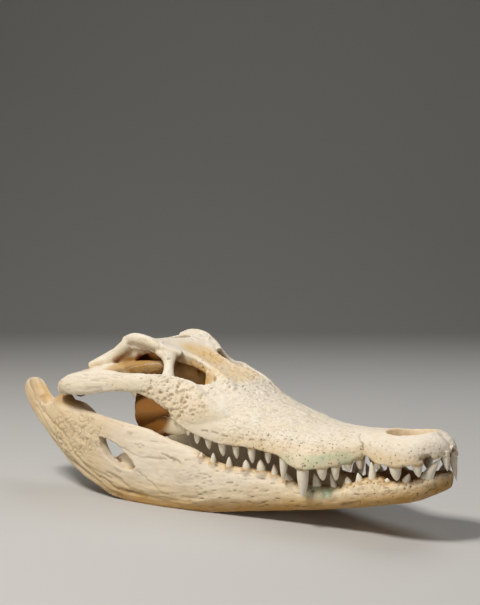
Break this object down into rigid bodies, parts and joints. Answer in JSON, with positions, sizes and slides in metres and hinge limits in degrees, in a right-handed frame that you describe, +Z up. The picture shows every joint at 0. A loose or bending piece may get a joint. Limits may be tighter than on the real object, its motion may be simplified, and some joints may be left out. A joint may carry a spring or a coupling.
{
  "type": "crocodile skull",
  "caption": "Crocodile skull with its lower jaw, mouth a little open and both tooth rows showing, resting on the lower jaw as a still museum specimen.",
  "frame": {"origin": "centre of the skull's bounding box in plan, at the level of the floor that the lower jaw rests on", "axes": "+X towards the tip of the snout, +Y towards the animal's left, +Z up"},
  "size_m": [0.5258, 0.2129, 0.1806],
  "materials": {
    "bone": "dry, matt, cream to ivory bone with smoother, paler teeth"
  },
  "bodies": {
    "root": {"rostrum": "bone", "jugal_arch_right": "bone", "jugal_arch_left": "bone", "pterygoids": "bone", "quadrate_right": "bone", "quadrate_left": "bone", "braincase_and_roof": "bone", "mandible_right": "bone", "mandible_left": "bone"}
  },
  "joints": []
}
